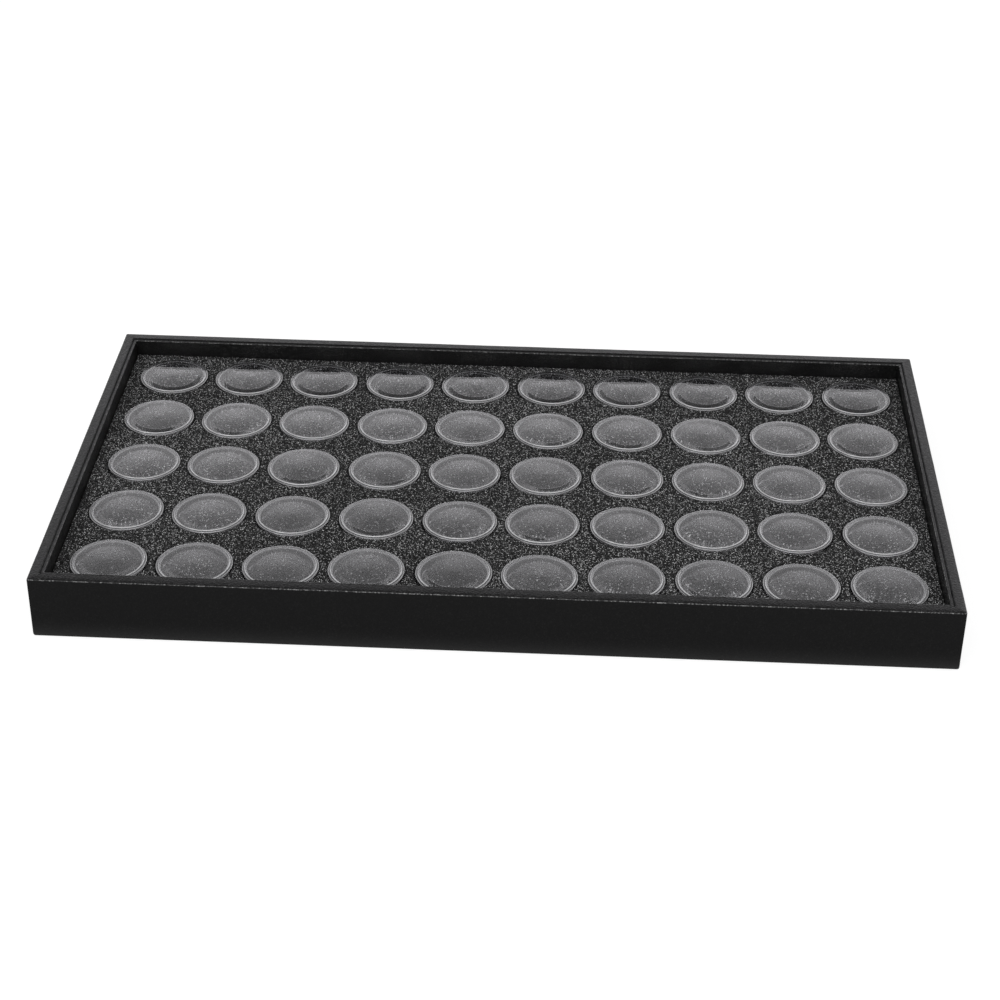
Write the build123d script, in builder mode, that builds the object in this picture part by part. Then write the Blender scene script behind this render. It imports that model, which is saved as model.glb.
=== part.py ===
from build123d import *
import os

# A display tray for loose stones: a covered board tray with a lined well, a foam insert with
# round holes, and a clear lidded jar with a foam disc in each hole. Millimetres, +Z up.
# The origin is the middle of the tray's underside, and the front wall faces -Y.

# Tray, outside sizes
tray_length = 374.65
tray_depth = 209.55
tray_height = 28.2

# Boards that carry the tray
wall_board_thickness = 3.4
base_board_thickness = 3.0
rabbet_depth = 1.7

# Leatherette cover and floor lining
cover_thickness = 0.6
cover_turn_in = 10.0
corner_round = 1.0
rim_round = 0.8
inner_rim_round = 0.5
foot_round = 0.5
lining_thickness = 0.4

# Liner strips that stand inside the walls
liner_thickness = 1.4
liner_drop = 0.4
liner_edge_round = 0.5

# Foam insert. The jars are spread evenly, as many as leave the least web between two holes.
foam_thickness = 16.5
foam_side_gap = 0.3
hole_gap = 0.5
side_web = 5.0
front_web = 4.1
least_web = 1.8

# Jar: a cup and a slip-on lid
jar_height = 16.8
lid_radius = 15.9
lid_wall = 1.0
lid_top = 1.0
lid_height = 6.5
lid_slip_fit = 0.1
crown_inset = 1.2
crown_height = 1.0
cup_wall = 1.3
cup_floor = 1.2

# Foam disc in a cup
pad_thickness = 8.0
pad_side_gap = 0.2

# Heights of what lies on what
base_board_bottom = cover_thickness
base_board_top = base_board_bottom + base_board_thickness
tray_floor = base_board_top + lining_thickness
board_top = tray_height - cover_thickness
liner_top = tray_height - liner_drop
jar_top = tray_floor + jar_height
cup_top = jar_top - lid_top
pad_bottom = tray_floor + cup_floor

# Sizes in plan
frame_length = tray_length - 2 * cover_thickness
frame_depth = tray_depth - 2 * cover_thickness
frame_inner_length = frame_length - 2 * wall_board_thickness
frame_inner_depth = frame_depth - 2 * wall_board_thickness
base_length = frame_inner_length + 2 * rabbet_depth
base_depth = frame_inner_depth + 2 * rabbet_depth
band_inner_length = frame_inner_length - 2 * cover_thickness
band_inner_depth = frame_inner_depth - 2 * cover_thickness
well_length = band_inner_length - 2 * liner_thickness
well_depth = band_inner_depth - 2 * liner_thickness
cup_radius = lid_radius - lid_wall - lid_slip_fit
cup_bore_radius = cup_radius - cup_wall
pad_radius = cup_bore_radius - pad_side_gap
hole_radius = lid_radius + hole_gap
crown_radius = lid_radius - crown_inset

# Layout of the jars
holes_length = well_length - 2 * side_web
holes_depth = well_depth - 2 * front_web
columns = int((holes_length + least_web) // (2 * hole_radius + least_web))
rows = int((holes_depth + least_web) // (2 * hole_radius + least_web))
column_pitch = (holes_length - 2 * hole_radius) / (columns - 1)
row_pitch = (holes_depth - 2 * hole_radius) / (rows - 1)
row_names = ["second_row", "third_row", "fourth_row", "fifth_row"][:rows - 2] + ["rear_row"]

os.makedirs("parts", exist_ok=True)


def save(part, name):
    part.label = name
    export_step(part, "parts/" + name + ".step")


def jar_place(column, row):
    """The axis of a jar, counted from the left column and the front row."""
    x = (column - (columns - 1) / 2) * column_pitch
    y = (row - (rows - 1) / 2) * row_pitch
    return (x, y)


# Base board, let into the walls

with BuildPart() as base_board:
    with BuildSketch(Plane.XY.offset(base_board_bottom)):
        Rectangle(base_length, base_depth)
    extrude(amount=base_board_thickness)
save(base_board.part, "base_board")


# Wall boards, mitred at the corners and rabbeted for the base board


def make_wall_board(outer_length, inner_length, outer_at):
    """A wall board that runs along X, with its outer face at y = -outer_at."""
    outer_half = outer_length / 2
    inner_half = inner_length / 2
    inner_at = outer_at - wall_board_thickness
    base_edge = inner_at + rabbet_depth
    with BuildPart() as wall_board:
        with BuildSketch(Plane.XY.offset(base_board_bottom)):
            with BuildLine():
                Polyline(
                    (-outer_half, -outer_at),
                    (outer_half, -outer_at),
                    (inner_half, -inner_at),
                    (-inner_half, -inner_at),
                    close=True,
                )
            make_face()
        extrude(amount=board_top - base_board_bottom)
        with BuildSketch(Plane.XY.offset(base_board_bottom)):
            with Locations((0, -base_edge)):
                Rectangle(outer_length, 2 * rabbet_depth, align=(Align.CENTER, Align.MIN))
        extrude(amount=base_board_thickness, mode=Mode.SUBTRACT)
    return wall_board.part


long_board = make_wall_board(frame_length, frame_inner_length, frame_depth / 2)
short_board = make_wall_board(frame_depth, frame_inner_depth, frame_length / 2)
save(long_board.rotate(Axis.Z, 0), "front_wall_board")
save(long_board.rotate(Axis.Z, 180), "rear_wall_board")
save(short_board.rotate(Axis.Z, -90), "left_wall_board")
save(short_board.rotate(Axis.Z, 90), "right_wall_board")


# Leatherette band: outside, over the rim, down the inside and turned in underneath

with BuildPart() as wall_cover:
    with BuildSketch():
        RectangleRounded(tray_length, tray_depth, corner_round)
    extrude(amount=tray_height)
    fillet(wall_cover.faces().sort_by(Axis.Z)[-1].edges(), radius=rim_round)
    fillet(wall_cover.faces().sort_by(Axis.Z)[0].edges(), radius=foot_round)
    with BuildSketch(Plane.XY.offset(cover_thickness)):
        Rectangle(band_inner_length, band_inner_depth)
    extrude(amount=tray_height, mode=Mode.SUBTRACT)
    rim = wall_cover.faces().filter_by(GeomType.PLANE).sort_by(Axis.Z)[-1]
    fillet(rim.inner_wires()[0].edges(), radius=inner_rim_round)
    with BuildSketch(Plane.XY.offset(base_board_bottom)):
        Rectangle(frame_length, frame_depth)
        Rectangle(frame_inner_length, frame_inner_depth, mode=Mode.SUBTRACT)
    extrude(amount=board_top - base_board_bottom, mode=Mode.SUBTRACT)
    with BuildSketch(Plane.XY.offset(base_board_bottom)):
        Rectangle(base_length, base_depth)
    extrude(amount=base_board_thickness, mode=Mode.SUBTRACT)
    with BuildSketch():
        Rectangle(tray_length - 2 * cover_turn_in, tray_depth - 2 * cover_turn_in)
    extrude(amount=cover_thickness, mode=Mode.SUBTRACT)
save(wall_cover.part, "wall_cover")


# Sheet under the base, level with the turned-in band

with BuildPart() as base_cover:
    with BuildSketch():
        Rectangle(tray_length - 2 * cover_turn_in, tray_depth - 2 * cover_turn_in)
    extrude(amount=cover_thickness)
save(base_cover.part, "base_cover")


# Lining on the base board, inside the band

with BuildPart() as floor_lining:
    with BuildSketch(Plane.XY.offset(base_board_top)):
        Rectangle(band_inner_length, band_inner_depth)
    extrude(amount=lining_thickness)
save(floor_lining.part, "floor_lining")


# Liner strips, mitred at the corners, standing on the floor lining against the band


def make_liner(outer_length, inner_length, outer_at):
    """A liner strip that runs along X, with its outer face at y = -outer_at."""
    outer_half = outer_length / 2
    inner_half = inner_length / 2
    inner_at = outer_at - liner_thickness
    with BuildPart() as liner:
        with BuildSketch(Plane.XY.offset(tray_floor)):
            with BuildLine():
                Polyline(
                    (-outer_half, -outer_at),
                    (outer_half, -outer_at),
                    (inner_half, -inner_at),
                    (-inner_half, -inner_at),
                    close=True,
                )
            make_face()
        extrude(amount=liner_top - tray_floor)
        top_edges = liner.faces().sort_by(Axis.Z)[-1].edges()
        fillet(top_edges.filter_by(Axis.X), radius=liner_edge_round)
    return liner.part


long_liner = make_liner(band_inner_length, well_length, band_inner_depth / 2)
short_liner = make_liner(band_inner_depth, well_depth, band_inner_length / 2)
save(long_liner.rotate(Axis.Z, 0), "front_liner")
save(long_liner.rotate(Axis.Z, 180), "rear_liner")
save(short_liner.rotate(Axis.Z, -90), "left_liner")
save(short_liner.rotate(Axis.Z, 90), "right_liner")


# Foam insert with a through hole for each jar

with BuildPart() as foam_insert:
    with BuildSketch(Plane.XY.offset(tray_floor)):
        Rectangle(well_length - 2 * foam_side_gap, well_depth - 2 * foam_side_gap)
        with GridLocations(column_pitch, row_pitch, columns, rows):
            Circle(hole_radius, mode=Mode.SUBTRACT)
    extrude(amount=foam_thickness)
save(foam_insert.part, "foam_insert")


# Jars


def make_cups(places):
    """A round cup at each place."""
    with BuildPart() as cups:
        with BuildSketch(Plane.XY.offset(tray_floor)):
            with Locations(*places):
                Circle(cup_radius)
        extrude(amount=cup_top - tray_floor)
        with BuildSketch(Plane.XY.offset(tray_floor + cup_floor)):
            with Locations(*places):
                Circle(cup_bore_radius)
        extrude(amount=cup_top - tray_floor - cup_floor, mode=Mode.SUBTRACT)
    return cups.part


def make_pads(places):
    """A foam disc on the floor of each cup."""
    with BuildPart() as pads:
        with BuildSketch(Plane.XY.offset(pad_bottom)):
            with Locations(*places):
                Circle(pad_radius)
        extrude(amount=pad_thickness)
    return pads.part


def make_lids(places):
    """A lid on each cup: a top with a raised crown, and a skirt that slips over the cup."""
    skirt_bottom = jar_top - lid_height
    with BuildPart() as lids:
        with BuildSketch(Plane.XY.offset(skirt_bottom)):
            with Locations(*places):
                Circle(lid_radius)
        extrude(amount=lid_height)
        with BuildSketch(Plane.XY.offset(jar_top)):
            with Locations(*places):
                Circle(crown_radius)
        extrude(amount=crown_height)
        with BuildSketch(Plane.XY.offset(skirt_bottom)):
            with Locations(*places):
                Circle(lid_radius - lid_wall)
        extrude(amount=lid_height - lid_top, mode=Mode.SUBTRACT)
    return lids.part


# The front row has a node for each piece of each jar

for column in range(columns):
    place = [jar_place(column, 0)]
    number = f"{column + 1:02d}"
    save(make_cups(place), "front_cup_" + number)
    save(make_pads(place), "front_pad_" + number)
    save(make_lids(place), "front_lid_" + number)

# Each row behind it has one node for its cups, one for its foam discs and one for its lids

for row, row_name in enumerate(row_names, start=1):
    places = [jar_place(column, row) for column in range(columns)]
    save(make_cups(places), row_name + "_cups")
    save(make_pads(places), row_name + "_pads")
    save(make_lids(places), row_name + "_lids")
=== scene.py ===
import math
import random

import bpy
from mathutils import Matrix, Vector, noise


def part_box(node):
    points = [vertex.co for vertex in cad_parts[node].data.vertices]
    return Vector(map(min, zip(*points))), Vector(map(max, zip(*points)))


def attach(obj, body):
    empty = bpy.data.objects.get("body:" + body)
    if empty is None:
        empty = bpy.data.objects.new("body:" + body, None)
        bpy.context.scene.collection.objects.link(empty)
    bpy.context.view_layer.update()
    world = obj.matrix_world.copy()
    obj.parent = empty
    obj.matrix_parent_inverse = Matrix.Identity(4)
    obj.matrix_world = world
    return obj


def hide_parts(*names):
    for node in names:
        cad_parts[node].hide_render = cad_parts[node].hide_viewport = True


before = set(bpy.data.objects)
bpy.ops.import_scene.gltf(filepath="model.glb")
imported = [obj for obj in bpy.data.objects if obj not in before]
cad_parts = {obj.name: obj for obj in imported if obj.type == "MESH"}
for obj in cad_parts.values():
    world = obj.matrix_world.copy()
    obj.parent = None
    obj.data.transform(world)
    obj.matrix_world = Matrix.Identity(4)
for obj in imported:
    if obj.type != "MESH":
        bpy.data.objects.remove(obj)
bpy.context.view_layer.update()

# The looks of a covered display tray with a foam insert and fifty clear lidded jars.
# Metres, +Z up, front wall towards -Y. Sizes are in millimetres where a name ends in _mm or _MM.

MM = 0.001
ROW_NAMES = ["second_row", "third_row", "fourth_row", "rear_row"]
FRONT_NUMBERS = [f"{number:02d}" for number in range(1, 11)]
COLUMNS = len(FRONT_NUMBERS)
ROWS = len(ROW_NAMES) + 1

# Camera of the photograph
CAMERA_PLACE_MM = (32.48, -822.31, 526.43)
CAMERA_AZIMUTH = -2.416
CAMERA_ELEVATION = 32.251
CAMERA_ROLL = 0.690
FOCAL_LENGTH_PX = 2199.97
PICTURE_WIDTH_PX = 1000
SENSOR_MM = 36.0

# Leatherette wrap
WRAP_SHEET_MM = 0.6
WRAP_STEP_MM = 2.5
WRAP_WAVE_MM = 0.06
WRAP_WAVE_LENGTH_MM = 30.0
WRAP_WAVE_LIFT = 2.0
RIM_ROUND_MM = 0.7
RIM_FALL_MM = 0.15
RIM_CURL_MM = 0.12
REAR_RIM_RISE = 0.75
RIM_DEPTH_MM = 0.42
RIM_FINISH_SHARE = 0.75
RIM_STEPS = 12
INNER_RIM_ROUND_MM = 0.5
FOOT_ROUND_MM = 1.2
CORNER_ROUND_MM = 1.0
INNER_CORNER_ROUND_MM = 0.25

# Leatherette finish. Grains are counted per metre, and tones go from 0 for black to 1 for white.
PEBBLES_PER_M = 1300.0
FINE_GRAIN_PER_M = 2600.0
GRAIN_PATCHES_PER_M = 300.0
GRAIN_CLOUDS_PER_M = 20.0
PEBBLE_SLOPE = (0.1, 0.75)
PEBBLE_HEIGHTS = (0.5, 1.0)
FINE_GRAIN_HEIGHT = 0.4
PATCH_RANGE = (0.6, 1.3)
CLOUD_RANGE = (0.7, 1.3)
SMOOTH_PEBBLE = 0.8
# Tone of the painted highlight: pale pebbles where leatherette turns over an edge
PAINTED_EDGE_HIGHLIGHT_TONE = 0.4
# Painted light from the white floor: the leatherette is mixed paler towards the foot, up to a height, with a
# fade
PAINTED_FOOT_LIGHT_TONE = 0.2
PAINTED_FOOT_LIGHT_SHARE = 0.14
PAINTED_FOOT_LIGHT_HEIGHT_MM = 12.0
PAINTED_FOOT_LIGHT_FADE = 3.0

# Where leatherette counts as turned over an edge, which gets a painted highlight: how far its surface faces
# up, from 0 to 1
TURN_BEGINS = (0.25, 0.4)
TURN_ENDS = (0.85, 0.72)

# Foam finish
INSERT_CELLS_PER_M = 2200.0
DISC_CELLS_PER_M = 1500.0
# The glints below are painted into the foam's colour
GLINTS_PER_CELL = 1.37
GRIT_PER_CELL = 1.6
FOAM_CLOUDS_PER_M = 120.0
FOAM_PATCHES_PER_M = 16.0
SPARK_RARITY = 13.0
SPARK_SLOPE = (0.25, 0.6)
SPARK_EDGE = 0.1
GRIT_RANGE = (0.3, 1.5)
FOAM_CLOUD_RANGE = (0.75, 1.25)
LEAST_FOAM_TONE = 0.006
MOST_FOAM_TONE = 0.9
FOAM_BLUE = 1.01
FOAM_BUMP = 0.6
FOAM_BUMP_MM = 0.4
FOAM_ROUGHNESS = 0.95
SPARK_ROUGHNESS = 0.5

# Clear plastic finish
SCUFFS_PER_M = 260.0
SCUFF_RANGE = (0.45, 0.8)
FLOW_MARKS_PER_M = 45.0
FLOW_MARK_BUMP = 0.25
FLOW_MARK_MM = 0.4
SHADOW_TINT = (0.93, 0.93, 0.94, 1.0)
CLEAR_TINT = (0.985, 0.985, 0.99, 1.0)
CUP_TINT = (0.98, 0.98, 0.985, 1.0)
# Tint of partly opaque white plastic: painted highlights on the lids' edges and painted light on the cups'
# rims
PAINTED_LIGHT_TINT = (0.95, 0.95, 0.965, 1.0)
# Grey tint of the lid's shoulder: painted shade between its painted highlights
SHOULDER_SHADE_TINT = (0.6, 0.6, 0.62, 1.0)
# Near-black tint of the painted dark reflection line below the lid's outer edge
DARK_REFLECTION_TINT = (0.02, 0.02, 0.025, 1.0)

# Card and board finish
FIBRE_STRETCH = (1.0, 4.0, 4.0)
FIBRE_CLOUDS_PER_M = 35.0
FIBRE_SHARE = 0.7
FIBRE_CONTRAST = (0.35, 0.65)
FIBRE_ROUGHNESS_SPREAD = 0.1
BOARD_DARK = (0.23, 0.15, 0.085, 1.0)
BOARD_LIGHT = (0.36, 0.25, 0.15, 1.0)

# Foam insert
HOLE_GAP_MM = 0.5
HOLE_LIP_MM = 0.45
HOLE_LIP_SHARE = 0.3
HOLE_STRAIGHT_MM = 2.0
HOLE_RAGGED_MM = 0.08
HOLE_RAGS_PER_MM = 0.9
HOLE_RAG_LEVEL = 7.0
FOAM_SIDE_STEPS = 40
FOAM_RING_STEPS = 10
FOAM_RELIEF_MM = 0.25
FOAM_CELL_MM = 1.2
FINE_CELL_SHARE = 0.45
FINE_CELL_DEPTH = 0.35
FINE_CELL_SHIFT_MM = 50.0

# Foam discs
PAD_LIP_MM = 0.5
PAD_TURNS = 56
PAD_RINGS = 16
PAD_RELIEF_MM = 0.3
PAD_NOISE_SHIFT_MM = 100.0

# Lids. Shares of the edge's rounding say how far down it a finish reaches: the painted highlight, then the
# painted dark reflection.
LID_WALL_MM = 1.0
LID_HEIGHT_MM = 6.5
LID_PLATE_MM = 1.0
LID_EDGE_ROUND_MM = 0.5
EDGE_HIGHLIGHT_SHARE = 0.26
DARK_REFLECTION_SHARE = 0.65
SOFT_SKIRT_MM = 0.4
SKIRT_OUTER_ROUND_MM = 0.2
SKIRT_INNER_ROUND_MM = 0.15
SKIRT_ROOT_ROUND_MM = 0.25
RECESS_GAP_MM = 0.1
CROWN_INSET_MM = 1.2
CROWN_ROUND_MM = 0.22
CROWN_STEP_MM = 0.3
CROWN_SLOPE_MM = 0.05
DOME_CURVE_MM = 190.0
DOME_CURL_MM = 0.06
DOME_SKEW_MM = 0.2
LID_LEAN = 0.009
REAR_LID_LEAN = 0.015
LEAN_START_MM = 0.15
DOME_STEPS = 12
LID_TURNS = 96

# Stub of the gate, where the plastic ran into the mould
NUB_WIDTH_MM = 2.4
NUB_HEIGHT_MM = 1.2
NUB_DEPTH_MM = 0.15
NUB_DROP_MM = 1.2
NUB_STEPS = 5

# Cups
CUP_TURNS = 72
CUP_WALL_MM = 1.3
CUP_DROP_MM = 0.1
CUP_RIM_ROUND_MM = 0.2
# How far down the cup's rim its painted light reaches
CUP_RIM_LIGHT_MM = 0.02
CUP_FLOOR_MM = 1.2
CUP_FLOOR_ROUND_MM = 0.5
CUP_FLOOR_SLOPE_MM = 0.1
CUP_FOOT_ROUND_MM = 0.4
FOOT_RING_WIDTH_MM = 2.0
FOOT_RING_HEIGHT_MM = 0.4
FOOT_RING_SLOPE_MM = 0.2

# How the jars stand: off the middles of their holes, and turned, by chance
JAR_SHIFT_MM = 0.25
JAR_SEED = 11
REAR_TURN_SPREAD = 60.0

# Floor: how much light it gives back to each kind of ray, and the glow that keeps it white
FLOOR_HALF_MM = 6000.0
FLOOR_DROP_MM = 0.05
FLOOR_GLOW = 0.82
FLOOR_SEEN = 0.3
FLOOR_MIRRORED = 0.35
FLOOR_PLAIN = 0.7

# White sweep that reflections show, with elevations in radians. A shade runs from one value of the
# direction's part along Y or X to another, and gives the share of light at each.
SWEEP_ELEVATION = 0.56
SWEEP_FADE = -2.5
SWEEP_OVERHEAD_FADE = -1.0
SWEEP_STRENGTH = 0.92
SWEEP_MOST = 1.25
FRONT_SHADE = (-0.5, 0.1, 0.25, 1.0)
LEFT_SHADE = (-0.7, -0.25, 0.5, 1.0)
RIGHT_SHADE = (0.2, 0.7, 1.0, 1.4)
MIRRORED_LIGHT_TINT = (0.985, 0.975, 1.0, 1.0)
AMBIENT_STRENGTH = 0.6

# Bright screen above the camera: its lower and upper edge in radians, and its edge along Y
SCREEN_BOTTOM = (0.4, 0.5)
SCREEN_TOP = (1.05, 0.95)
SCREEN_SIDE = (-0.2, -0.35)
SCREEN_STRENGTH = 1.5

# Distances below which two places count as the same
TOUCH_MM = 0.01
SAME_MM = 1e-6

# Span in which most values of a noise texture lie
NOISE_SPAN = (0.3, 0.7)


# Places read from the frame

def corners_mm(node):
    low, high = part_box(node)
    return [value / MM for value in low], [value / MM for value in high]


def middle_mm(node):
    low, high = corners_mm(node)
    return (low[0] + high[0]) / 2, (low[1] + high[1]) / 2


def radius_mm(node):
    low, high = corners_mm(node)
    return (high[1] - low[1]) / 2


first_x, front_y = middle_mm("front_cup_01")
last_x, _ = middle_mm("front_cup_" + FRONT_NUMBERS[-1])
_, rear_y = middle_mm("rear_row_cups")
column_pitch = (last_x - first_x) / (COLUMNS - 1)
row_pitch = (rear_y - front_y) / (ROWS - 1)
lid_radius = radius_mm("front_lid_01")
cup_radius = radius_mm("front_cup_01")
pad_radius = radius_mm("front_pad_01")
hole_radius = lid_radius + HOLE_GAP_MM


def jar_place(column, row):
    return first_x + column * column_pitch, front_y + row * row_pitch


# Node trees

class Graph:
    """A short way to write a material or world as nodes."""

    def __init__(self, tree):
        self.tree = tree
        self.tree.nodes.clear()

    def add(self, kind, settings=None, **inputs):
        node = self.tree.nodes.new(kind)
        for name, value in (settings or {}).items():
            setattr(node, name, value)
        for name, value in inputs.items():
            self.feed(node.inputs[name.replace("_", " ")], value)
        return node

    def feed(self, socket, value):
        if isinstance(value, bpy.types.NodeSocket):
            self.tree.links.new(value, socket)
        else:
            socket.default_value = value

    def math(self, operation, first, second=0.0):
        node = self.tree.nodes.new("ShaderNodeMath")
        node.operation = operation
        self.feed(node.inputs[0], first)
        self.feed(node.inputs[1], second)
        return node.outputs[0]

    def ramp(self, factor, low, high, to_low=0.0, to_high=1.0):
        node = self.tree.nodes.new("ShaderNodeMapRange")
        for name, value in (("Value", factor), ("From Min", low), ("From Max", high),
                            ("To Min", to_low), ("To Max", to_high)):
            self.feed(node.inputs[name], value)
        return node.outputs["Result"]

    def product(self, *factors):
        result = factors[0]
        for factor in factors[1:]:
            result = self.math("MULTIPLY", result, factor)
        return result

    def noise(self, place, per_metre, detail):
        return self.add("ShaderNodeTexNoise", Vector=place, Scale=per_metre, Detail=detail)

    def cells(self, place, per_metre):
        return self.add("ShaderNodeTexVoronoi", {"feature": "F1"}, Vector=place, Scale=per_metre)

    def varied(self, texture, least, most):
        """A factor that a noise texture varies between two values."""
        return self.ramp(texture.outputs["Fac"], *NOISE_SPAN, least, most)

    def mix(self, factor, first, second):
        node = self.tree.nodes.new("ShaderNodeMix")
        node.data_type = "RGBA"
        self.feed(node.inputs["Factor"], factor)
        self.feed(node.inputs["A"], first)
        self.feed(node.inputs["B"], second)
        return node.outputs["Result"]

    def mix_shader(self, factor, first, second):
        node = self.tree.nodes.new("ShaderNodeMixShader")
        self.feed(node.inputs[0], factor)
        self.feed(node.inputs[1], first)
        self.feed(node.inputs[2], second)
        return node.outputs[0]


def new_material(name):
    material = bpy.data.materials.new(name)
    material.use_nodes = True
    return material, Graph(material.node_tree)


def grey(value, blue=1.0):
    return (value, value, value * blue, 1.0)


# Materials

def leatherette(name, specular, smooth, rough, dark, light, relief_mm, edge_highlight_tone=PAINTED_EDGE_HIGHLIGHT_TONE):
    """Black leatherette with a fine pebble grain, a painted highlight dotted by the pebbles where it turns
    over an edge, and painted light towards the foot.
    """
    material, g = new_material(name)
    place = g.add("ShaderNodeTexCoord").outputs["Object"]
    grain = g.cells(place, PEBBLES_PER_M)
    fine = g.noise(place, FINE_GRAIN_PER_M, 2.0)
    cloud = g.noise(place, GRAIN_CLOUDS_PER_M, 3.0)
    patch = g.noise(place, GRAIN_PATCHES_PER_M, 3.0)
    chance = g.add("ShaderNodeSeparateColor", Color=grain.outputs["Color"])
    pebble = g.ramp(grain.outputs["Distance"], *PEBBLE_SLOPE, 1.0, 0.0)
    uneven = g.product(chance.outputs["Red"], g.varied(patch, *PATCH_RANGE))
    pebble_height = g.product(pebble, g.ramp(chance.outputs["Green"], 0.0, 1.0, *PEBBLE_HEIGHTS))
    height = g.math("ADD", pebble_height, g.product(fine.outputs["Fac"], FINE_GRAIN_HEIGHT))
    bump = g.add("ShaderNodeBump", Strength=1.0, Distance=relief_mm * MM, Height=height)
    tone = g.product(uneven, uneven, pebble, g.varied(cloud, *CLOUD_RANGE))
    # Painted light: paler towards the foot, standing for the white floor's light on the lowest part of the
    # walls
    height_above_table = g.add("ShaderNodeSeparateXYZ", Vector=place).outputs["Z"]
    painted_foot_light = g.math("POWER", g.ramp(height_above_table, 0.0, PAINTED_FOOT_LIGHT_HEIGHT_MM * MM, 1.0, 0.0), PAINTED_FOOT_LIGHT_FADE)
    normal = g.add("ShaderNodeNewGeometry").outputs["Normal"]
    upward = g.add("ShaderNodeSeparateXYZ", Vector=normal).outputs["Z"]
    # Painted highlight: where the surface turns over an edge, pebbles are mixed pale, standing for the light
    # that the rounding catches
    edge_highlight_mask = g.product(g.ramp(upward, *TURN_BEGINS), g.ramp(upward, *TURN_ENDS))
    painted_edge_highlight = g.mix(g.product(chance.outputs["Red"], pebble), grey(dark), grey(edge_highlight_tone))
    tint = g.mix(edge_highlight_mask, g.mix(tone, grey(dark, 1.02), grey(light)), painted_edge_highlight)
    tint = g.mix(g.product(painted_foot_light, PAINTED_FOOT_LIGHT_SHARE), tint, grey(PAINTED_FOOT_LIGHT_TONE))
    roughness = g.ramp(g.product(pebble, uneven), 0.0, SMOOTH_PEBBLE, rough, smooth)
    shader = g.add("ShaderNodeBsdfPrincipled", Base_Color=tint, Roughness=roughness, IOR=1.5,
                   Specular_IOR_Level=specular, Normal=bump.outputs["Normal"])
    g.add("ShaderNodeOutputMaterial", Surface=shader.outputs[0])
    return material


def foam_material(name, ground, shine, cells_per_m, uneven):
    """Charcoal open-cell foam: dark pores, grey cell walls, and painted glints on walls here and there."""
    material, g = new_material(name)
    place = g.add("ShaderNodeTexCoord").outputs["Object"]
    cells = g.cells(place, cells_per_m)
    glint = g.cells(place, cells_per_m * GLINTS_PER_CELL)
    cloud = g.noise(place, FOAM_CLOUDS_PER_M, 3.0)
    patch = g.noise(place, FOAM_PATCHES_PER_M, 1.0)
    grit = g.noise(place, cells_per_m * GRIT_PER_CELL, 2.0)
    wall = g.add("ShaderNodeSeparateColor", Color=cells.outputs["Color"])
    chance = g.add("ShaderNodeSeparateColor", Color=glint.outputs["Color"])
    # Painted glints: rare cell walls made much paler in the base colour, standing for the light they catch
    spark = g.product(g.math("POWER", chance.outputs["Red"], SPARK_RARITY),
                      g.ramp(glint.outputs["Distance"], *SPARK_SLOPE, 1.0, SPARK_EDGE))
    body = g.product(g.math("POWER", wall.outputs["Green"], 2.0), g.varied(grit, *GRIT_RANGE),
                     g.varied(cloud, *FOAM_CLOUD_RANGE))
    lightness = g.math("ADD", g.product(body, ground), g.product(spark, shine))
    lightness = g.product(lightness, g.varied(patch, 1.0 - uneven, 1.0 + uneven))
    lightness = g.math("MINIMUM", g.math("ADD", lightness, LEAST_FOAM_TONE), MOST_FOAM_TONE)
    blue = g.product(lightness, FOAM_BLUE)
    tint = g.add("ShaderNodeCombineColor", Red=lightness, Green=lightness, Blue=blue)
    depth = g.math("SUBTRACT", g.product(grit.outputs["Fac"], 0.5), cells.outputs["Distance"])
    bump = g.add("ShaderNodeBump", Strength=FOAM_BUMP, Distance=FOAM_BUMP_MM * MM, Height=depth)
    roughness = g.ramp(spark, 0.0, 0.5, FOAM_ROUGHNESS, SPARK_ROUGHNESS)
    shader = g.add("ShaderNodeBsdfPrincipled", Base_Color=tint.outputs[0], Roughness=roughness, IOR=1.4,
                   Specular_IOR_Level=0.08, Normal=bump.outputs["Normal"])
    g.add("ShaderNodeOutputMaterial", Surface=shader.outputs[0])
    return material


def clear_plastic(name, tint, clearness, smooth, scuffed, ior=1.5):
    """Clear moulded plastic with faint scuffs. It lets lamp light through, so what is inside is lit."""
    material, g = new_material(name)
    place = g.add("ShaderNodeTexCoord").outputs["Object"]
    scuffs = g.noise(place, SCUFFS_PER_M, 4.0)
    g.feed(scuffs.inputs["Roughness"], 0.7)
    flow = g.noise(place, FLOW_MARKS_PER_M, 1.0)
    roughness = g.ramp(scuffs.outputs["Fac"], *SCUFF_RANGE, smooth, scuffed)
    bump = g.add("ShaderNodeBump", Strength=FLOW_MARK_BUMP, Distance=FLOW_MARK_MM * MM,
                 Height=flow.outputs["Fac"])
    shader = g.add("ShaderNodeBsdfPrincipled", Base_Color=tint, Roughness=roughness, IOR=ior,
                   Transmission_Weight=clearness, Specular_IOR_Level=0.5, Normal=bump.outputs["Normal"])
    open_way = g.add("ShaderNodeBsdfTransparent", Color=SHADOW_TINT)
    rays = g.add("ShaderNodeLightPath")
    passes = g.math("MAXIMUM", rays.outputs["Is Shadow Ray"], rays.outputs["Is Diffuse Ray"])
    surface = g.mix_shader(passes, shader.outputs[0], open_way.outputs[0])
    g.add("ShaderNodeOutputMaterial", Surface=surface)
    return material


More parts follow.
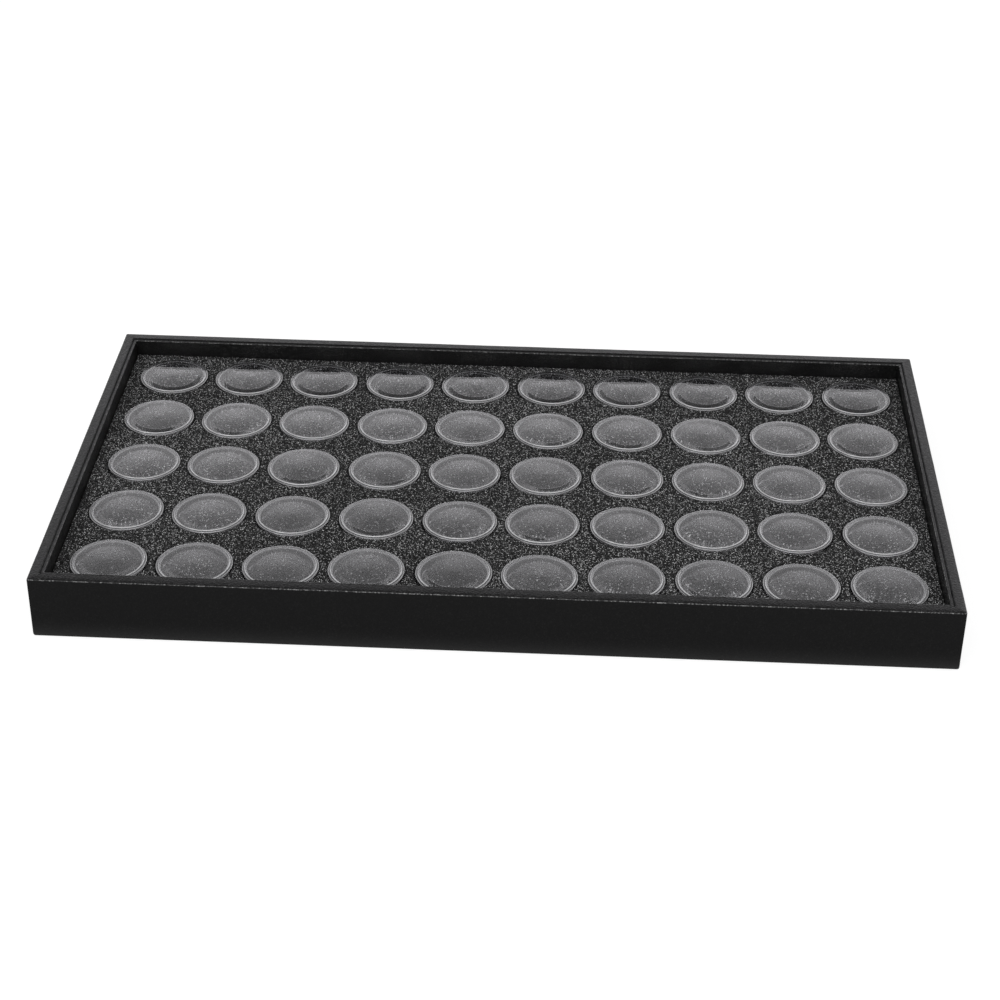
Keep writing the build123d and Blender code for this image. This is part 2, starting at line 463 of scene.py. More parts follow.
def fibre_sheet(name, dark, light, fibres_per_m, roughness, relief_mm):
    """Card, paper or fibreboard: fine fibres with soft clouds."""
    material, g = new_material(name)
    place = g.add("ShaderNodeTexCoord").outputs["Object"]
    stretch = g.add("ShaderNodeMapping", Vector=place, Scale=FIBRE_STRETCH)
    fibre = g.noise(stretch.outputs[0], fibres_per_m, 5.0)
    cloud = g.noise(place, FIBRE_CLOUDS_PER_M, 2.0)
    blend = g.math("ADD", g.product(fibre.outputs["Fac"], FIBRE_SHARE),
                   g.product(cloud.outputs["Fac"], 1.0 - FIBRE_SHARE))
    tint = g.mix(g.ramp(blend, *FIBRE_CONTRAST), dark, light)
    bump = g.add("ShaderNodeBump", Strength=0.5, Distance=relief_mm * MM, Height=fibre.outputs["Fac"])
    uneven = g.varied(fibre, roughness - FIBRE_ROUGHNESS_SPREAD, roughness + FIBRE_ROUGHNESS_SPREAD)
    shader = g.add("ShaderNodeBsdfPrincipled", Base_Color=tint, Roughness=uneven, Specular_IOR_Level=0.3,
                   Normal=bump.outputs["Normal"])
    g.add("ShaderNodeOutputMaterial", Surface=shader.outputs[0])
    return material


wall_leatherette = leatherette("wall_leatherette", specular=0.2, smooth=0.45, rough=0.65,
                               dark=0.0065, light=0.012, relief_mm=0.12)
rim_leatherette = leatherette("rim_leatherette", specular=0.3, smooth=0.16, rough=0.4,
                              dark=0.002, light=0.02, relief_mm=0.1)
# Painted shade: darker leatherette without the painted highlight, for the rounding into the groove at the
# liner
groove_shade_leatherette = leatherette("groove_shade_leatherette", specular=0.2, smooth=0.3, rough=0.6,
                               dark=0.002, light=0.015, relief_mm=0.1, edge_highlight_tone=0.015)
liner_leatherette = leatherette("liner_leatherette", specular=0.3, smooth=0.16, rough=0.4,
                                dark=0.005, light=0.03, relief_mm=0.1)
insert_foam = foam_material("insert_foam", ground=0.034, shine=1.9,
                            cells_per_m=INSERT_CELLS_PER_M, uneven=0.15)
disc_foam = foam_material("disc_foam", ground=0.044, shine=0.9,
                          cells_per_m=DISC_CELLS_PER_M, uneven=0.5)
lid_plastic = clear_plastic("lid_plastic", CLEAR_TINT, clearness=1.0, smooth=0.0, scuffed=0.06)
cup_plastic = clear_plastic("cup_plastic", CUP_TINT, clearness=1.0, smooth=0.01, scuffed=0.08)
# Painted shade: the lid's shoulder is greyed plastic
shoulder_shade_plastic = clear_plastic("shoulder_shade_plastic", SHOULDER_SHADE_TINT, clearness=0.97,
                                  smooth=0.02, scuffed=0.08, ior=2.0)
# Painted highlights: the lid's outer edge and its crown's edge are partly opaque white plastic
outer_edge_highlight_plastic = clear_plastic("outer_edge_highlight_plastic", PAINTED_LIGHT_TINT, clearness=0.68,
                             smooth=0.05, scuffed=0.15, ior=1.8)
crown_edge_highlight_plastic = clear_plastic("crown_edge_highlight_plastic", PAINTED_LIGHT_TINT, clearness=0.52,
                                    smooth=0.05, scuffed=0.15, ior=1.8)
# Painted light: the cup's rim top is partly opaque white plastic, for the bright ring seen through the lid
cup_rim_light_plastic = clear_plastic("cup_rim_light_plastic", PAINTED_LIGHT_TINT, clearness=0.84, smooth=0.05, scuffed=0.15)
# Painted dark reflection: a near-black line on the lid's edge rounding, below the painted highlight
dark_reflection_plastic = clear_plastic("dark_reflection_plastic", DARK_REFLECTION_TINT, clearness=1.0,
                                  smooth=0.02, scuffed=0.08, ior=2.1)
underside_sheet = fibre_sheet("underside_sheet", grey(0.009), grey(0.02), fibres_per_m=900.0,
                              roughness=0.7, relief_mm=0.1)
lining_card = fibre_sheet("lining_card", grey(0.006), grey(0.014), fibres_per_m=700.0,
                          roughness=0.85, relief_mm=0.1)
raw_board = fibre_sheet("raw_board", BOARD_DARK, BOARD_LIGHT, fibres_per_m=500.0,
                        roughness=0.8, relief_mm=0.2)


# Meshes

def make_piece(name, points_mm, faces, materials, face_slots=None, smooth=True):
    mesh = bpy.data.meshes.new(name)
    mesh.from_pydata([(x * MM, y * MM, z * MM) for x, y, z in points_mm], [], faces)
    for material in materials:
        mesh.materials.append(material)
    if face_slots:
        mesh.polygons.foreach_set("material_index", face_slots)
    if smooth:
        mesh.polygons.foreach_set("use_smooth", [True] * len(mesh.polygons))
    mesh.update()
    piece = bpy.data.objects.new(name, mesh)
    bpy.context.scene.collection.objects.link(piece)
    return piece


def place_piece(piece, body, node):
    """Ties a piece to its body and hides the node that it stands for."""
    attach(piece, body)
    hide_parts(node)


def arc(centre, radius, start, end, steps):
    """Points of an arc in the plane of a profile, angles in degrees."""
    points = []
    for step in range(steps + 1):
        angle = math.radians(start + (end - start) * step / steps)
        points.append((centre[0] + radius * math.cos(angle), centre[1] + radius * math.sin(angle)))
    return points


def rounding(begin, radius, start, end, steps):
    """An arc that begins at a given point, which is left out."""
    angle = math.radians(start)
    centre = (begin[0] - radius * math.cos(angle), begin[1] - radius * math.sin(angle))
    return arc(centre, radius, start, end, steps)[1:]


def turned(profile, centre, turns, turn=0.0, shape=None):
    """A profile of (radius, height) points from axis to axis, turned about an upright axis.

    shape(angle, radius, height) gives a changed (radius, height) for a point.
    """
    points = []
    rings = []
    for radius, height in profile:
        ring = []
        for step in range(1 if radius < SAME_MM else turns):
            angle = 2 * math.pi * step / turns + turn
            r, z = shape(angle, radius, height) if shape else (radius, height)
            ring.append(len(points))
            points.append((centre[0] + r * math.cos(angle), centre[1] + r * math.sin(angle), z))
        rings.append(ring)
    faces = []
    for above, below in zip(rings, rings[1:]):
        for step in range(turns):
            following = (step + 1) % turns
            if len(above) == 1:
                faces.append((above[0], below[step], below[following]))
            elif len(below) == 1:
                faces.append((above[step], below[0], above[following]))
            else:
                faces.append((above[step], below[step], below[following], above[following]))
    return points, faces


def ring_slots(profile, turns, slot_at):
    """Material numbers for the faces of a turned profile, from the middle of each stretch of it."""
    slots = []
    for (r0, z0), (r1, z1) in zip(profile, profile[1:]):
        slots.extend([slot_at((r0 + r1) / 2, (z0 + z1) / 2)] * turns)
    return slots


def joined(parts):
    """Several (points, faces) as one."""
    points = []
    faces = []
    for part_points, part_faces in parts:
        start = len(points)
        points.extend(part_points)
        faces.extend(tuple(index + start for index in face) for face in part_faces)
    return points, faces


# Leatherette wrap

def wrap_width():
    """From the wrap's outer face in to its inner face."""
    outer_face = corners_mm("wall_cover")[0][0]
    return corners_mm("left_wall_board")[1][0] + WRAP_SHEET_MM - outer_face


def wrap_profile():
    """Closed section of the wrap as points of (distance in from the outer face, height)."""
    low, high = corners_mm("wall_cover")
    top = high[2]
    base = low[2]
    inner = wrap_width()
    flange = corners_mm("base_cover")[0][0] - low[0]
    shelf = corners_mm("base_board")[1][2]
    outer_top = top - RIM_FALL_MM - RIM_CURL_MM
    foot = arc((FOOT_ROUND_MM, base + FOOT_ROUND_MM), FOOT_ROUND_MM, 270, 180, 6)
    outer = [(0.0, base + (top - base) * share) for share in (0.2, 0.4, 0.6, 0.8)]
    shoulder = arc((RIM_ROUND_MM, outer_top - RIM_ROUND_MM), RIM_ROUND_MM, 180, 95, 8)
    flat_end = inner - INNER_RIM_ROUND_MM
    flat = []
    for step in range(1, RIM_STEPS):
        share = step / RIM_STEPS
        fall = RIM_FALL_MM * (1 - share) + RIM_CURL_MM * (1 - share) ** 4
        flat.append((RIM_ROUND_MM + (flat_end - RIM_ROUND_MM) * share, top - fall))
    inward = arc((flat_end, top - INNER_RIM_ROUND_MM), INNER_RIM_ROUND_MM, 90, 0, 6)
    down = [(inner, shelf + (top - shelf) * share) for share in (0.6, 0.3)]
    ends = [(inner, shelf), (inner - WRAP_SHEET_MM, shelf)]
    under_rim = outer_top - WRAP_SHEET_MM
    back = [(inner - WRAP_SHEET_MM, under_rim), (WRAP_SHEET_MM, under_rim),
            (WRAP_SHEET_MM, base + WRAP_SHEET_MM), (flange, base + WRAP_SHEET_MM), (flange, base)]
    return foot + outer + shoulder + flat + inward + down + ends + back


def wrap_loop(inset, half_length, half_depth):
    """Points round the tray at one distance in from its outer face."""
    radius = max(CORNER_ROUND_MM - inset, INNER_CORNER_ROUND_MM)
    x = half_length - inset - radius
    y = half_depth - inset - radius
    sides = [((-x, -y - radius), (x, -y - radius)), ((x + radius, -y), (x + radius, y)),
             ((x, y + radius), (-x, y + radius)), ((-x - radius, y), (-x - radius, -y))]
    centres = [(x, -y), (x, y), (-x, y), (-x, -y)]
    loop = []
    for side, ((ax, ay), (bx, by)) in enumerate(sides):
        span = 2 * half_length if side % 2 == 0 else 2 * half_depth
        steps = round(span / WRAP_STEP_MM)
        for step in range(steps):
            share = step / steps
            loop.append((ax + (bx - ax) * share, ay + (by - ay) * share))
        loop.extend(arc(centres[side], radius, -90 + 90 * side, 90 * side, 4)[:-1])
    return loop


def wrap_slot(start, end, top):
    """The finish between two points of the section: wall 0, rim 1, and 2 on the rounding at the liner, which
    is darker as painted shade of the groove and has no painted highlight.
    """
    lowest = top - RIM_FALL_MM - RIM_CURL_MM - RIM_FINISH_SHARE * RIM_ROUND_MM
    on_rim = min(start[1], end[1]) > lowest
    at_liner = min(start[0], end[0]) >= wrap_width() - INNER_RIM_ROUND_MM - TOUCH_MM
    if on_rim and at_liner:
        return 2
    return 1 if on_rim else 0


def wrap_ring(inset, height, half_length, half_depth, top):
    """Points round the tray at one point of the section, with the slack of hand-folded leatherette."""
    on_outside = inset < WRAP_SHEET_MM * 0.5
    on_top = height > top - RIM_DEPTH_MM
    ring = []
    for x, y in wrap_loop(inset, half_length, half_depth):
        spot = Vector((x, y, height * WRAP_WAVE_LIFT)) / WRAP_WAVE_LENGTH_MM
        wave = abs(noise.noise(spot)) * WRAP_WAVE_MM
        pull = 1.0 - wave / half_depth if on_outside else 1.0
        z = height
        if on_top:
            toward_rear = 0.5 + 0.5 * y / half_depth
            z += (top - height) * REAR_RIM_RISE * toward_rear - wave
        ring.append((x * pull, y * pull, z))
    return ring


def make_wrap():
    low, high = corners_mm("wall_cover")
    half_length = (high[0] - low[0]) / 2
    half_depth = (high[1] - low[1]) / 2
    profile = wrap_profile()
    points = []
    for inset, height in profile:
        points.extend(wrap_ring(inset, height, half_length, half_depth, high[2]))
    around = len(points) // len(profile)
    faces = []
    slots = []
    for ring, start in enumerate(profile):
        following_ring = (ring + 1) % len(profile)
        for step in range(around):
            following = (step + 1) % around
            faces.append((ring * around + step, ring * around + following,
                          following_ring * around + following, following_ring * around + step))
        slots.extend([wrap_slot(start, profile[following_ring], high[2])] * around)
    finishes = [wall_leatherette, rim_leatherette, groove_shade_leatherette]
    wrap = make_piece("leatherette_wrap", points, faces, finishes, slots)
    place_piece(wrap, "tray", "wall_cover")


# Foam insert

def foam_height(x, y, top, relief):
    """The open-cell surface: cells sunk below the cut face by up to the relief."""
    coarse = noise.noise(Vector((x, y, 0.0)) / FOAM_CELL_MM)
    fine = noise.noise(Vector((x + FINE_CELL_SHIFT_MM, y, 0.0)) / (FOAM_CELL_MM * FINE_CELL_SHARE))
    return top - relief * (0.5 + 0.5 * coarse + FINE_CELL_DEPTH * fine)


def cell_outline(column, row, low, high):
    """The rectangle of foam round one hole, out to its neighbours or to the block's side."""
    x, y = jar_place(column, row)
    left = low[0] if column == 0 else x - column_pitch / 2
    right = high[0] if column == COLUMNS - 1 else x + column_pitch / 2
    front = low[1] if row == 0 else y - row_pitch / 2
    rear = high[1] if row == ROWS - 1 else y + row_pitch / 2
    corners = [(right, front), (right, rear), (left, rear), (left, front)]
    outline = []
    for index, (ax, ay) in enumerate(corners):
        bx, by = corners[(index + 1) % 4]
        for step in range(FOAM_SIDE_STEPS):
            share = step / FOAM_SIDE_STEPS
            outline.append((ax + (bx - ax) * share, ay + (by - ay) * share))
    return outline


def hole_edge(outline, centre):
    """The ragged edge of a hole, as a direction and a radius for each point of the outline."""
    edge = []
    for x, y in outline:
        angle = math.atan2(y - centre[1], x - centre[0])
        ragged = HOLE_RAGGED_MM * noise.noise(Vector((x, y, HOLE_RAG_LEVEL)) * HOLE_RAGS_PER_MM)
        edge.append((math.cos(angle), math.sin(angle), hole_radius + ragged))
    return edge


def foam_face_ring(edge, outline, centre, share, top):
    """Points on the foam's face, a share of the way from the lip of a hole to the outline."""
    ring = []
    for (c, s, r), (outer_x, outer_y) in zip(edge, outline):
        inner_x = centre[0] + c * (r + HOLE_LIP_MM)
        inner_y = centre[1] + s * (r + HOLE_LIP_MM)
        x = inner_x + (outer_x - inner_x) * share
        y = inner_y + (outer_y - inner_y) * share
        ring.append((x, y, foam_height(x, y, top, FOAM_RELIEF_MM)))
    return ring


def foam_rings(outline, centre, base, top):
    """Rings of points round one hole: underneath, up the hole, over its lip and out to the outline."""
    edge = hole_edge(outline, centre)
    rings = [[(x, y, base) for x, y in outline]]
    lip = HOLE_LIP_MM * HOLE_LIP_SHARE
    heights = [base, (base + top) / 2, top - HOLE_STRAIGHT_MM, top - HOLE_LIP_MM]
    levels = [(0.0, height) for height in heights] + [(lip, top - lip)]
    for wider, height in levels:
        rings.append([(centre[0] + c * (r + wider), centre[1] + s * (r + wider), height) for c, s, r in edge])
    for step in range(1, FOAM_RING_STEPS + 1):
        rings.append(foam_face_ring(edge, outline, centre, step / FOAM_RING_STEPS, top))
    return rings


def on_block_side(start, end, low, high):
    on_end = start[0] == end[0] and start[0] in (low[0], high[0])
    on_front_or_rear = start[1] == end[1] and start[1] in (low[1], high[1])
    return on_end or on_front_or_rear


def foam_faces(rings, outline, low, high):
    """Faces between the rings round one hole, and down the block's side where the outline lies on it."""
    faces = []
    count = len(outline)
    for inner, outer in zip(rings, rings[1:]):
        for step in range(count):
            following = (step + 1) % count
            faces.append((inner[step], outer[step], outer[following], inner[following]))
    bottom = rings[0]
    face = rings[-1]
    for step in range(count):
        following = (step + 1) % count
        if on_block_side(outline[step], outline[following], low, high):
            faces.append((face[step], bottom[step], bottom[following], face[following]))
    return faces


def make_foam_insert():
    low, high = corners_mm("foam_insert")
    points = []
    index_of = {}
    faces = []

    def vertex(point):
        key = tuple(round(value, 4) for value in point)
        if key not in index_of:
            index_of[key] = len(points)
            points.append(point)
        return index_of[key]

    for row in range(ROWS):
        for column in range(COLUMNS):
            outline = cell_outline(column, row, low, high)
            rings = foam_rings(outline, jar_place(column, row), low[2], high[2])
            rings = [[vertex(point) for point in ring] for ring in rings]
            faces.extend(foam_faces(rings, outline, low, high))
    insert = make_piece("foam_block", points, faces, [insert_foam])
    place_piece(insert, "insert", "foam_insert")


# Foam discs

def disc_part(centre, low, high, shift):
    """One foam disc with an open-cell face and a soft edge."""
    face_radius = pad_radius - PAD_LIP_MM
    profile = [(face_radius * ring / PAD_RINGS, high) for ring in range(PAD_RINGS + 1)]
    profile += arc((face_radius, high - PAD_LIP_MM), PAD_LIP_MM, 60, 0, 2)
    profile += [(pad_radius, low + PAD_LIP_MM), (face_radius, low), (0.0, low)]
    points, faces = turned(profile, centre, PAD_TURNS)
    sunk = []
    for x, y, z in points:
        if z > high - SAME_MM:
            z = foam_height(x + shift, y, high, PAD_RELIEF_MM)
        sunk.append((x, y, z))
    return sunk, faces


def make_discs(name, node, body, places):
    low, high = corners_mm(node)
    parts = []
    for index, place in enumerate(places):
        parts.append(disc_part(place, low[2], high[2], PAD_NOISE_SHIFT_MM * index))
    discs = make_piece(name, *joined(parts), [disc_foam])
    place_piece(discs, body, node)


# Jars

def dome_fall(radius):
    """How far the dome of a lid has fallen at a radius: a sphere that curls down a little at its edge."""
    return radius ** 2 / (2 * DOME_CURVE_MM) + DOME_CURL_MM * (radius / lid_radius) ** 6


def shoulder_height(radius, top):
    """Height of the lid's shoulder, a small step below its dome."""
    return top - dome_fall(radius) - CROWN_STEP_MM


def lid_profile(low, shoulder, top):
    """Section of a lid from the middle of its top round to the middle of its underside."""
    crown = lid_radius - CROWN_INSET_MM
    flat = crown - CROWN_ROUND_MM
    flat_edge = lid_radius - LID_EDGE_ROUND_MM
    edge = shoulder_height(flat_edge, top)
    dome = [flat * step / DOME_STEPS for step in range(DOME_STEPS + 1)]
    profile = [(radius, top - dome_fall(radius)) for radius in dome]
    profile += rounding(profile[-1], CROWN_ROUND_MM, 80, 35, 3)
    profile += [(crown + CROWN_SLOPE_MM, shoulder_height(crown, top))]
    profile += [((crown + flat_edge) / 2, shoulder_height((crown + flat_edge) / 2, top))]
    profile += arc((flat_edge, edge - LID_EDGE_ROUND_MM), LID_EDGE_ROUND_MM, 84, 0, 8)
    nub_top = shoulder - NUB_DROP_MM
    profile += [(lid_radius, nub_top - NUB_HEIGHT_MM * row / NUB_STEPS) for row in range(NUB_STEPS + 1)]
    return profile + lid_underside(low, shoulder, top)


def lid_underside(low, shoulder, top):
    """Section of a lid from the foot of its skirt up inside and in to the middle."""
    inner = lid_radius - LID_WALL_MM
    recess = cup_radius - CUP_WALL_MM - RECESS_GAP_MM
    seat = shoulder - LID_PLATE_MM
    foot = SKIRT_OUTER_ROUND_MM
    inner_foot = SKIRT_INNER_ROUND_MM
    root = SKIRT_ROOT_ROUND_MM
    profile = arc((lid_radius - foot, low + foot), foot, 0, -90, 2)
    profile += arc((inner + inner_foot, low + inner_foot), inner_foot, 270, 180, 1)
    profile += arc((inner - root, seat - root), root, 0, 90, 2)
    plate = top - dome_fall(recess) - seat
    under = [recess * (1 - step / DOME_STEPS) for step in range(DOME_STEPS + 1)]
    profile += [(radius, top - plate - dome_fall(radius)) for radius in under]
    return profile


def lid_slot(radius, height, shoulder, top):
    """Clear crown and skirt 0, painted highlight on the outer edge 1, painted dark reflection line below it
    2, painted highlight on the crown's edge 3, shoulder greyed as painted shade 4.
    """
    crown = lid_radius - CROWN_INSET_MM
    flat_edge = lid_radius - LID_EDGE_ROUND_MM
    if height < shoulder - SOFT_SKIRT_MM or radius < crown - CROWN_ROUND_MM:
        return 0
    if radius < crown + CROWN_SLOPE_MM:
        return 3
    if radius < flat_edge:
        return 4
    fall = (shoulder_height(flat_edge, top) - height) / LID_EDGE_ROUND_MM
    if fall < EDGE_HIGHLIGHT_SHARE:
        return 1
    return 2 if fall < DARK_REFLECTION_SHARE else 4


def lid_shape(shoulder, turn, lean_turn, lean):
    """Small faults of one lid: a top that leans, an uneven dome and the stub of the gate."""
    crown = lid_radius - CROWN_INSET_MM
    nub_middle = shoulder - NUB_DROP_MM - NUB_HEIGHT_MM / 2

    def shape(angle, radius, height):
        z = height
        share = min(radius / crown, 1.0)
        if height > shoulder - LID_PLATE_MM + LEAN_START_MM:
            z -= radius * lean * (1 + math.cos(angle - lean_turn))
            z -= DOME_SKEW_MM * share * (1 - share * share) * (1 + math.cos(angle - turn))
        if radius < lid_radius - SAME_MM:
            return radius, z
        from_nub = (angle - turn + math.pi) % (2 * math.pi) - math.pi
        across = from_nub * lid_radius / (NUB_WIDTH_MM / 2)
        up = (height - nub_middle) / (NUB_HEIGHT_MM / 2)
        out = max(0.0, 1 - across * across) * max(0.0, 1 - up * up)
        return radius - NUB_DEPTH_MM * (1 - math.sqrt(out)), z

    return shape


def cup_profile(low, high):
    """Section of a cup from the middle of its floor inside round to the middle underneath."""
    bore = cup_radius - CUP_WALL_MM
    floor = low + CUP_FLOOR_MM
    ring = cup_radius - FOOT_RING_WIDTH_MM
    corner = CUP_FLOOR_ROUND_MM
    rim = CUP_RIM_ROUND_MM
    foot = CUP_FOOT_ROUND_MM
    hollow = low + FOOT_RING_HEIGHT_MM
    profile = [(0.0, floor), (bore - corner - CUP_FLOOR_SLOPE_MM, floor)]
    profile += arc((bore - corner, floor + corner), corner, 285, 360, 3)
    profile += [(bore, (floor + high) / 2)]
    profile += arc((bore + rim, high - rim), rim, 180, 90, 3)
    profile += arc((cup_radius - rim, high - rim), rim, 90, 0, 3)
    profile += [(cup_radius, (low + high) / 2)]
    profile += arc((cup_radius - foot, low + foot), foot, 0, -90, 2)
    profile += [(ring, low), (ring - FOOT_RING_SLOPE_MM, hollow), (0.0, hollow)]
    return profile


def make_cup_piece(name, node, body, places, turns):
    low, high = corners_mm(node)
    rim = high[2] - CUP_DROP_MM
    profile = cup_profile(low[2], rim)
    parts = [turned(profile, place, CUP_TURNS, turn) for place, turn in zip(places, turns)]
    slots = ring_slots(profile, CUP_TURNS, lambda r, z: 1 if z > rim - CUP_RIM_LIGHT_MM else 0)
    slots = slots * len(places)
    cups = make_piece(name, *joined(parts), [cup_plastic, cup_rim_light_plastic], slots)
    place_piece(cups, body, node)


def make_lid_piece(name, node, body, places, turns, lean_turns, lean):
    low, high = corners_mm(node)
    shoulder = low[2] + LID_HEIGHT_MM
    profile = lid_profile(low[2], shoulder, high[2])
    parts = []
    for place, turn, lean_turn in zip(places, turns, lean_turns):
        shape = lid_shape(shoulder, turn, lean_turn, lean)
        parts.append(turned(profile, place, LID_TURNS, turn, shape))
    slots = ring_slots(profile, LID_TURNS, lambda r, z: lid_slot(r, z, shoulder, high[2]))
    slots = slots * len(places)
    finishes = [lid_plastic, outer_edge_highlight_plastic, dark_reflection_plastic, crown_edge_highlight_plastic, shoulder_shade_plastic]
    lids = make_piece(name, *joined(parts), finishes, slots)
    place_piece(lids, body, node)


def make_jars():
    chance = random.Random(JAR_SEED)

    def standing_place(column, row):
        """A jar stands a little off the middle of its hole."""
        x, y = jar_place(column, row)
        shift_x = chance.uniform(-JAR_SHIFT_MM, JAR_SHIFT_MM)
        shift_y = chance.uniform(-JAR_SHIFT_MM, JAR_SHIFT_MM)
        return x + shift_x, y + shift_y

    def any_turns(count):
        return [chance.uniform(0, 2 * math.pi) for _ in range(count)]

    def turns_near(angle, spread, count):
        return [math.radians(angle + chance.uniform(-spread, spread)) for _ in range(count)]

    for column, number in enumerate(FRONT_NUMBERS):
        places = [standing_place(column, 0)]
        turns = any_turns(1)
        make_cup_piece("jar_cup_" + number, "front_cup_" + number, "front_jar_" + number, places, turns)
        make_discs("jar_disc_" + number, "front_pad_" + number, "front_jar_" + number, places)
        make_lid_piece("jar_lid_" + number, "front_lid_" + number, "front_lid_" + number, places, turns,
                       any_turns(1), LID_LEAN)
    for row, row_name in enumerate(ROW_NAMES, start=1):
        places = [standing_place(column, row) for column in range(COLUMNS)]
        at_rear = row == ROWS - 1
        turns = turns_near(90, REAR_TURN_SPREAD, COLUMNS) if at_rear else any_turns(COLUMNS)
        lean_turns = turns_near(-90, REAR_TURN_SPREAD, COLUMNS) if at_rear else any_turns(COLUMNS)
        lean = REAR_LID_LEAN if at_rear else LID_LEAN
        make_cup_piece(row_name + "_jar_cups", row_name + "_cups", row_name + "_jars", places, turns)
        make_discs(row_name + "_jar_discs", row_name + "_pads", row_name + "_jars", places)
        make_lid_piece(row_name + "_jar_lids", row_name + "_lids", row_name + "_lids", places, turns,
                       lean_turns, lean)


make_wrap()
make_foam_insert()
make_jars()


# Finishes of the nodes that stay

def finish_node(node, material):
    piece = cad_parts[node]
    piece.data.materials.clear()
    piece.data.materials.append(material)


finish_node("base_cover", underside_sheet)
finish_node("floor_lining", lining_card)
finish_node("base_board", raw_board)
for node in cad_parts:
    if node.endswith("_wall_board"):
        finish_node(node, raw_board)
    elif node.endswith("_liner"):
        finish_node(node, liner_leatherette)


# Floor, light and camera

def make_floor():
    """A floor that looks white, and is darker in reflections."""
    half = FLOOR_HALF_MM
    corners = [(-half, -half, 0.0), (half, -half, 0.0), (half, half, 0.0), (-half, half, 0.0)]
    material, g = new_material("floor_white")
    rays = g.add("ShaderNodeLightPath")
    shown = g.math("MAXIMUM", rays.outputs["Is Camera Ray"], rays.outputs["Is Transmission Ray"])
    plain = g.add("ShaderNodeBsdfDiffuse", Color=grey(FLOOR_PLAIN))
    mirrored = g.add("ShaderNodeBsdfDiffuse", Color=grey(FLOOR_MIRRORED))
    lit = g.add("ShaderNodeBsdfDiffuse", Color=grey(FLOOR_SEEN))
    glow = g.add("ShaderNodeEmission", Color=grey(1.0), Strength=FLOOR_GLOW)
    white = g.add("ShaderNodeAddShader")
    g.feed(white.inputs[0], lit.outputs[0])
    g.feed(white.inputs[1], glow.outputs[0])
    unseen = g.mix_shader(rays.outputs["Is Glossy Ray"], plain.outputs[0], mirrored.outputs[0])
    g.add("ShaderNodeOutputMaterial", Surface=g.mix_shader(shown, unseen, white.outputs[0]))
    floor = make_piece("studio_floor", corners, [(0, 1, 2, 3)], [material], smooth=False)
    floor.location.z = -FLOOR_DROP_MM * MM


def sweep_strength(g, direction, elevation):
    """A white sweep, brightest low down and to the right, darker overhead, on the left and in front."""
    above = g.math("SUBTRACT", elevation, SWEEP_ELEVATION)
    steeper = g.product(g.math("MAXIMUM", above, 0.0), SWEEP_OVERHEAD_FADE)
    fall = g.math("EXPONENT", g.math("ADD", g.product(above, SWEEP_FADE), steeper))
    sweep = g.math("MINIMUM", g.product(fall, SWEEP_STRENGTH), SWEEP_MOST)
    front = g.ramp(direction.outputs["Y"], *FRONT_SHADE)
    left = g.ramp(direction.outputs["X"], *LEFT_SHADE)
    right = g.ramp(direction.outputs["X"], *RIGHT_SHADE)
    return g.product(g.product(sweep, front), g.product(left, right))


def screen_strength(g, direction, elevation):
    """A bright screen above the camera."""
    screen = g.product(g.ramp(elevation, *SCREEN_BOTTOM), g.ramp(elevation, *SCREEN_TOP),
                       g.ramp(direction.outputs["Y"], *SCREEN_SIDE))
    return g.product(screen, SCREEN_STRENGTH)


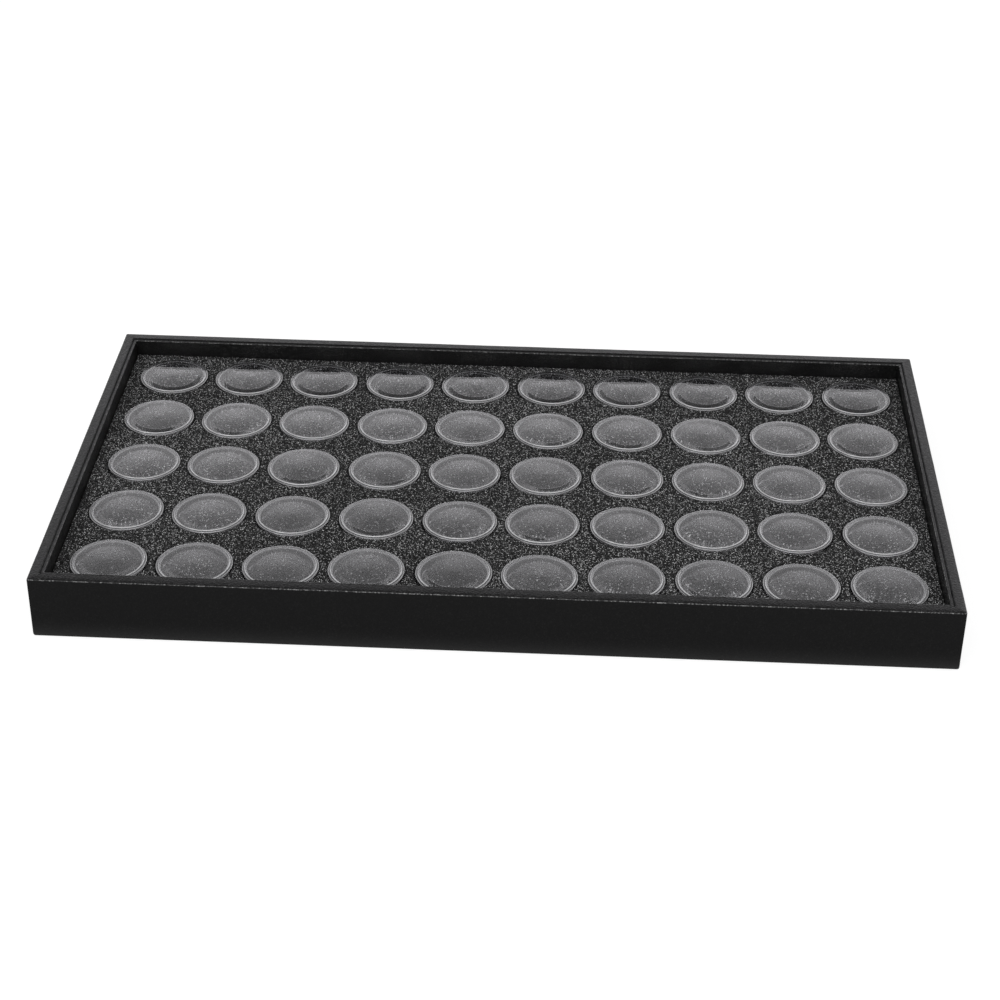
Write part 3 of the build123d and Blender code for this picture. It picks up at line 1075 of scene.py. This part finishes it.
def make_world():
    """White to the camera, even light on all surfaces, and a studio that reflections and plastic show."""
    world = bpy.data.worlds.new("studio")
    world.use_nodes = True
    bpy.context.scene.world = world
    g = Graph(world.node_tree)
    generated = g.add("ShaderNodeTexCoord").outputs["Generated"]
    direction = g.add("ShaderNodeSeparateXYZ", Vector=generated)
    elevation = g.math("ARCSINE", direction.outputs["Z"])
    sweep = sweep_strength(g, direction, elevation)
    screen = screen_strength(g, direction, elevation)
    strength = g.math("ADD", sweep, screen)
    rays = g.add("ShaderNodeLightPath")
    mirrored = g.add("ShaderNodeBackground", Color=MIRRORED_LIGHT_TINT, Strength=strength)
    shown = g.add("ShaderNodeBackground", Color=grey(1.0), Strength=1.0)
    light = g.add("ShaderNodeBackground", Color=grey(1.0), Strength=AMBIENT_STRENGTH)
    through = g.math("MAXIMUM", rays.outputs["Is Glossy Ray"], rays.outputs["Is Transmission Ray"])
    plain = g.mix_shader(rays.outputs["Is Camera Ray"], light.outputs[0], shown.outputs[0])
    g.add("ShaderNodeOutputWorld", Surface=g.mix_shader(through, plain, mirrored.outputs[0]))


def make_lamp(name, place, target, width, height, watts):
    data = bpy.data.lights.new(name, "AREA")
    data.shape = "RECTANGLE"
    data.size = width
    data.size_y = height
    data.energy = watts
    lamp = bpy.data.objects.new(name, data)
    bpy.context.scene.collection.objects.link(lamp)
    lamp.location = place
    lamp.rotation_euler = (Vector(target) - Vector(place)).to_track_quat("-Z", "Y").to_euler()


def make_camera():
    azimuth = math.radians(CAMERA_AZIMUTH)
    elevation = math.radians(CAMERA_ELEVATION)
    roll = math.radians(CAMERA_ROLL)
    forward = Vector((math.sin(azimuth) * math.cos(elevation), math.cos(azimuth) * math.cos(elevation),
                      -math.sin(elevation)))
    level_right = Vector((math.cos(azimuth), -math.sin(azimuth), 0.0))
    level_up = level_right.cross(forward)
    right = level_right * math.cos(roll) + level_up * math.sin(roll)
    up = level_up * math.cos(roll) - level_right * math.sin(roll)
    data = bpy.data.cameras.new("photo_camera")
    data.sensor_width = SENSOR_MM
    data.sensor_fit = "HORIZONTAL"
    data.lens = FOCAL_LENGTH_PX / PICTURE_WIDTH_PX * SENSOR_MM
    data.clip_start = 0.01
    data.clip_end = 50.0
    camera = bpy.data.objects.new("photo_camera", data)
    bpy.context.scene.collection.objects.link(camera)
    turn = Matrix((right, up, -forward)).transposed().to_4x4()
    camera.matrix_world = Matrix.Translation(Vector(CAMERA_PLACE_MM) * MM) @ turn
    bpy.context.scene.camera = camera


make_floor()
make_world()
make_lamp("front_softbox", place=(-0.2, -1.0, 1.25), target=(0.0, 0.0, 0.0), width=2.4, height=0.6,
          watts=12.0)
make_camera()
bpy.context.scene.view_settings.view_transform = "Standard"
